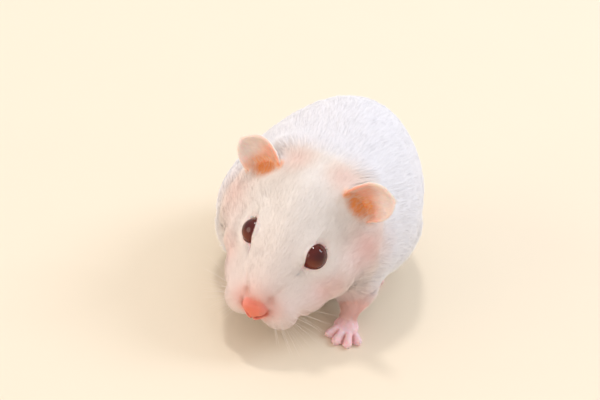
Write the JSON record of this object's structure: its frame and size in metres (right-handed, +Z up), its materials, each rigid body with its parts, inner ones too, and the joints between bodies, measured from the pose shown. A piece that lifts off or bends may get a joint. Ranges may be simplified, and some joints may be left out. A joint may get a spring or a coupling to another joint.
{
  "type": "white pet hamster",
  "caption": "Young white pet hamster, life size, crouched with its head lowered, round cupped ears out to the sides, ruby-dark eyes, a pink nose and bare pink feet.",
  "frame": {"origin": "middle of the base of the bounding box, on the floor under the animal", "axes": "+Z up, -Y the way the animal faces (its rump towards +Y), +X the animal's left"},
  "size_m": [0.0474, 0.0752, 0.043],
  "materials": {
    "white_fur": "short plush white coat",
    "bare_skin": "thin pink skin",
    "ear_skin": "thin peach-pink ear skin",
    "nose_skin": "moist pink nose",
    "eye": "wet ruby-dark eye",
    "claw": "pale translucent horn"
  },
  "bodies": {
    "root": {"claw_fore_left_1": "claw", "claw_fore_left_2": "claw", "claw_fore_left_3": "claw", "claw_fore_left_4": "claw", "claw_fore_right_1": "claw", "claw_fore_right_2": "claw", "claw_fore_right_3": "claw", "claw_fore_right_4": "claw", "claw_hind_left_1": "claw", "claw_hind_left_2": "claw", "claw_hind_left_3": "claw", "claw_hind_left_4": "claw", "claw_hind_left_5": "claw", "claw_hind_right_1": "claw", "claw_hind_right_2": "claw", "claw_hind_right_3": "claw", "claw_hind_right_4": "claw", "claw_hind_right_5": "claw", "ear_left": "ear_skin", "ear_right": "ear_skin", "eye_left": "eye", "eye_right": "eye", "forefoot_left": "bare_skin", "forefoot_right": "bare_skin", "foreleg_left": "white_fur", "foreleg_right": "white_fur", "head": "white_fur", "hindfoot_left": "bare_skin", "hindfoot_right": "bare_skin", "hindleg_left": "white_fur", "hindleg_right": "white_fur", "neck": "white_fur", "nose": "nose_skin", "tail": "bare_skin", "trunk": "white_fur"}
  },
  "joints": []
}
